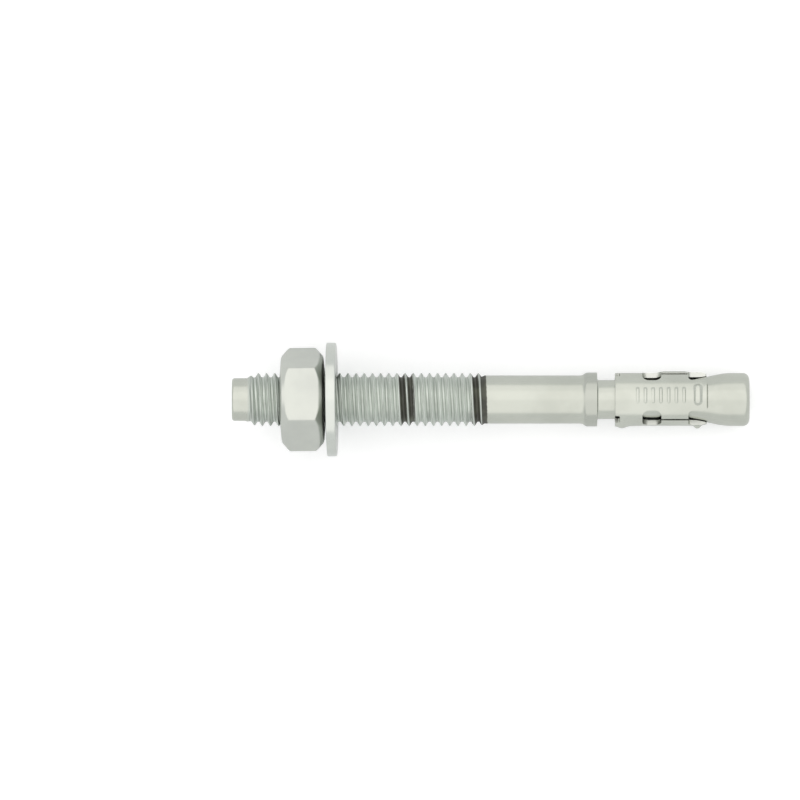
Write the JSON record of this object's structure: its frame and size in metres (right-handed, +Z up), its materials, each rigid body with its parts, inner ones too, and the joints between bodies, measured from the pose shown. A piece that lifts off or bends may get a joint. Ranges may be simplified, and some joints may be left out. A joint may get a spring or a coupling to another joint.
{
  "type": "wedge anchor",
  "caption": "Zinc plated steel wedge anchor: a threaded stud with a conical end, a sheet steel expansion clip round its neck, a flat washer and a hexagon nut.",
  "frame": {"origin": "bottom centre of the bounding box, on the floor that the anchor lies on", "axes": "+X towards the conical end along the floor, +Z up; the stud's axis lies in the XZ plane and dips 4.28 degrees towards +X, as the anchor rests on its washer's rim and its end"},
  "size_m": [0.0954, 0.021, 0.0211],
  "materials": {
    "stud_zinc": "zinc plated steel, satin, with two dark painted depth marks on the thread",
    "nut_zinc": "zinc plated cold forged steel, satin",
    "washer_zinc": "zinc plated punched steel, satin faces and a bright sheared rim",
    "clip_zinc": "zinc plated stamped and rolled sheet steel, satin"
  },
  "bodies": {
    "bolt": {"bolt": "stud_zinc"},
    "washer": {"washer": "washer_zinc"},
    "nut": {"hex_nut": "nut_zinc"},
    "clip": {"expansion_clip": "clip_zinc"}
  },
  "joints": [
    {"name": "washer_slide", "type": "slide", "parent": "bolt", "child": "washer", "axis": [0.9972, 0, -0.0746], "range_m": [-0.009, 0.0285]},
    {"name": "nut_spin", "type": "hinge", "parent": "washer", "child": "nut", "pos_m": [-0.03453, 0, 0.01093], "axis": [0.9972, 0, -0.0746], "range_deg": [-2160, 6840]},
    {"name": "clip_slide", "type": "slide", "parent": "bolt", "child": "clip", "axis": [0.9972, 0, -0.0746], "range_m": [-0.0028, 0]}
  ],
  "couplings": [
    {"joint": "washer_slide", "follows": "nut_spin", "m_per_rad": 0.00023873}
  ]
}
